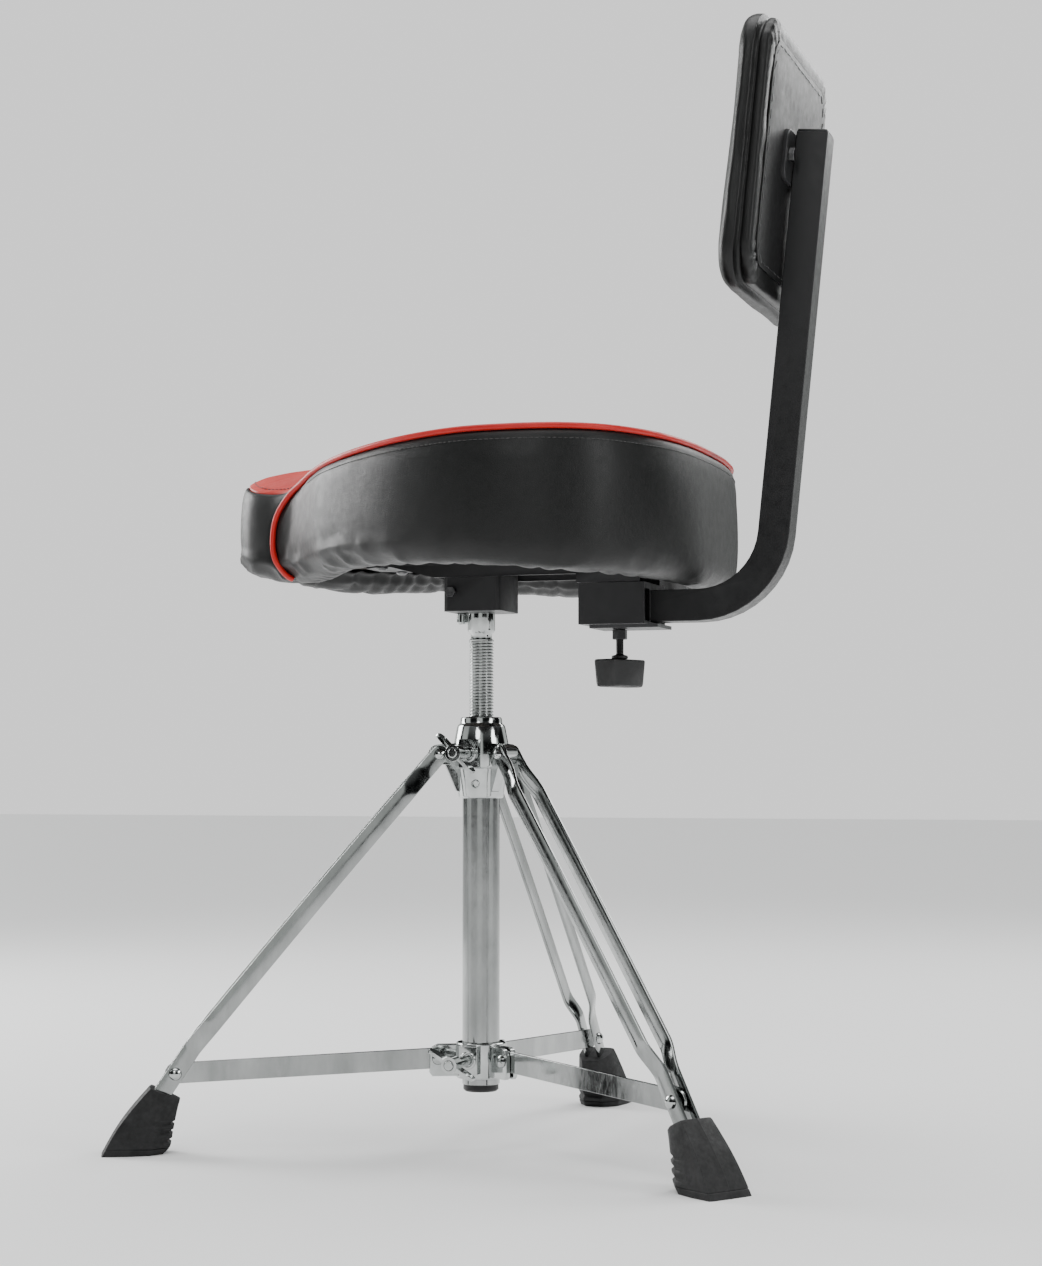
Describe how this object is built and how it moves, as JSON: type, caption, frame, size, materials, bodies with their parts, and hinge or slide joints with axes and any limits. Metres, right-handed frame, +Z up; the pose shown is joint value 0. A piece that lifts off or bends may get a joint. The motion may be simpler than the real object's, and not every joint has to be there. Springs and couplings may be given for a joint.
{
  "type": "drum throne",
  "caption": "Saddle-shaped padded drum seat on a folding double-braced tripod with a threaded height rod and a sliding backrest.",
  "frame": {"origin": "on the floor, under the middle of the bounding box; the tripod's post stands at x 0.0458 m, y -0.0055 m", "axes": "+Z up, -Y is the front (nose) of the seat, +Y the backrest's side"},
  "size_m": [0.5097, 0.5695, 0.8731],
  "materials": {
    "chrome": "bright chrome plate over steel, polished, slightly wavy on the flat bars",
    "black_steel": "black powder coat, satin",
    "bolt_steel": "zinc-plated fasteners",
    "rubber": "moulded black rubber, matt",
    "black_leather": "black synthetic leather, satin, fine grain",
    "red_piping": "red synthetic leather piping, satin",
    "plywood": "plywood board, black-stained where it shows",
    "foam": "polyurethane foam, hidden inside the cover",
    "black_plastic": "moulded black plastic"
  },
  "bodies": {
    "tripod": {"post_tube": "chrome", "post_plug": "black_plastic", "leg_hub": "chrome", "hub_set_screw": "bolt_steel", "thread_nut": "bolt_steel"},
    "hub_lock": {"hub_lock_bolt": "chrome", "hub_lock_wing": "chrome"},
    "leg_a": {"leg_a_strap_left": "chrome", "leg_a_strap_right": "chrome", "leg_a_hub_rivet": "chrome", "leg_a_foot_rivet_left": "chrome", "leg_a_foot_rivet_right": "chrome", "leg_a_foot": "rubber"},
    "leg_b": {"leg_b_strap_left": "chrome", "leg_b_strap_right": "chrome", "leg_b_hub_rivet": "chrome", "leg_b_foot_rivet_left": "chrome", "leg_b_foot_rivet_right": "chrome", "leg_b_foot": "rubber"},
    "leg_c": {"leg_c_strap_left": "chrome", "leg_c_strap_right": "chrome", "leg_c_hub_rivet": "chrome", "leg_c_foot_rivet_left": "chrome", "leg_c_foot_rivet_right": "chrome", "leg_c_foot": "rubber"},
    "collar": {"lock_collar": "chrome", "collar_rivet_a": "chrome", "collar_rivet_b": "chrome", "collar_rivet_c": "chrome"},
    "collar_lock": {"collar_lock_bolt": "chrome", "collar_lock_wing": "chrome"},
    "strut_a": {"strut_a": "chrome"},
    "strut_b": {"strut_b": "chrome"},
    "strut_c": {"strut_c": "chrome"},
    "rod": {"height_rod": "chrome"},
    "seat": {"seat_receiver": "black_steel", "receiver_bolt": "bolt_steel", "receiver_stop_nut": "chrome", "seat_mount_plate": "black_steel", "plate_screw_1": "bolt_steel", "plate_screw_2": "bolt_steel", "plate_screw_3": "bolt_steel", "plate_screw_4": "bolt_steel", "seat_board": "plywood", "seat_foam": "foam", "seat_cover": "black_leather", "seat_piping": "red_piping", "nose_piping_left": "red_piping", "nose_piping_right": "red_piping", "clamp_housing": "black_steel", "clamp_nut": "black_steel"},
    "clamp_knob": {"clamp_screw": "black_steel", "knob_handle": "black_plastic"},
    "backrest": {"backrest_bar": "black_steel", "bar_end_cap": "black_plastic", "backrest_bracket": "black_steel", "bracket_bolt_left": "bolt_steel", "bracket_bolt_right": "bolt_steel", "backrest_board": "plywood", "backrest_cushion": "black_leather"}
  },
  "joints": [
    {"name": "leg_a_fold", "type": "hinge", "parent": "tripod", "child": "leg_a", "pos_m": [0.06071, -0.03661, 0.314], "axis": [0.9018, 0.4321, 0], "range_deg": [0, 35]},
    {"name": "leg_b_fold", "type": "hinge", "parent": "tripod", "child": "leg_b", "pos_m": [0.06529, 0.02297, 0.314], "axis": [-0.8251, 0.565, 0], "range_deg": [0, 35]},
    {"name": "leg_c_fold", "type": "hinge", "parent": "tripod", "child": "leg_c", "pos_m": [0.0114, -0.00285, 0.314], "axis": [-0.0767, -0.9971, 0], "range_deg": [0, 35]},
    {"name": "collar_slide", "type": "slide", "parent": "tripod", "child": "collar", "axis": [0, 0, 1], "range_m": [0, 0.1237]},
    {"name": "strut_a_fold", "type": "hinge", "parent": "collar", "child": "strut_a", "pos_m": [0.06092, -0.03706, 0.071], "axis": [0.9018, 0.4321, 0], "range_deg": [0, 80.5]},
    {"name": "strut_b_fold", "type": "hinge", "parent": "collar", "child": "strut_b", "pos_m": [0.06557, 0.02338, 0.071], "axis": [-0.8251, 0.565, 0], "range_deg": [0, 80.5]},
    {"name": "strut_c_fold", "type": "hinge", "parent": "collar", "child": "strut_c", "pos_m": [0.0109, -0.00281, 0.071], "axis": [-0.0767, -0.9971, 0], "range_deg": [0, 80.5]},
    {"name": "hub_lock_turn", "type": "hinge", "parent": "tripod", "child": "hub_lock", "pos_m": [0.07571, -0.0078, 0.3145], "axis": [0.9971, -0.0767, 0], "range_deg": [0, 630]},
    {"name": "collar_lock_turn", "type": "hinge", "parent": "collar", "child": "collar_lock", "pos_m": [0.07571, -0.0078, 0.071], "axis": [0.9971, -0.0767, 0], "range_deg": [0, 630]},
    {"name": "seat_height", "type": "slide", "parent": "tripod", "child": "rod", "axis": [0, 0, 1], "range_m": [-0.061, 0.061]},
    {"name": "seat_swivel", "type": "hinge", "parent": "rod", "child": "seat", "pos_m": [0.0458, -0.0055, 0.445], "axis": [0, 0, 1], "range_deg": [-8640, 8640]},
    {"name": "clamp_knob_turn", "type": "hinge", "parent": "seat", "child": "clamp_knob", "pos_m": [0.0458, 0.1115, 0.39], "axis": [0, 0, -1], "range_deg": [0, 630]},
    {"name": "backrest_slide", "type": "slide", "parent": "seat", "child": "backrest", "axis": [0, 1, 0], "range_m": [-0.02, 0.025]}
  ],
  "couplings": [
    {"joint": "seat_height", "follows": "seat_swivel", "m_per_rad": 0.00039789},
    {"joint": "leg_b_fold", "follows": "leg_a_fold", "ratio": 1},
    {"joint": "leg_c_fold", "follows": "leg_a_fold", "ratio": 1},
    {"joint": "collar_slide", "follows": "leg_a_fold", "m_per_rad": 0.2023},
    {"joint": "strut_a_fold", "follows": "leg_a_fold", "ratio": 2.2974},
    {"joint": "strut_b_fold", "follows": "leg_a_fold", "ratio": 2.2974},
    {"joint": "strut_c_fold", "follows": "leg_a_fold", "ratio": 2.2974}
  ]
}
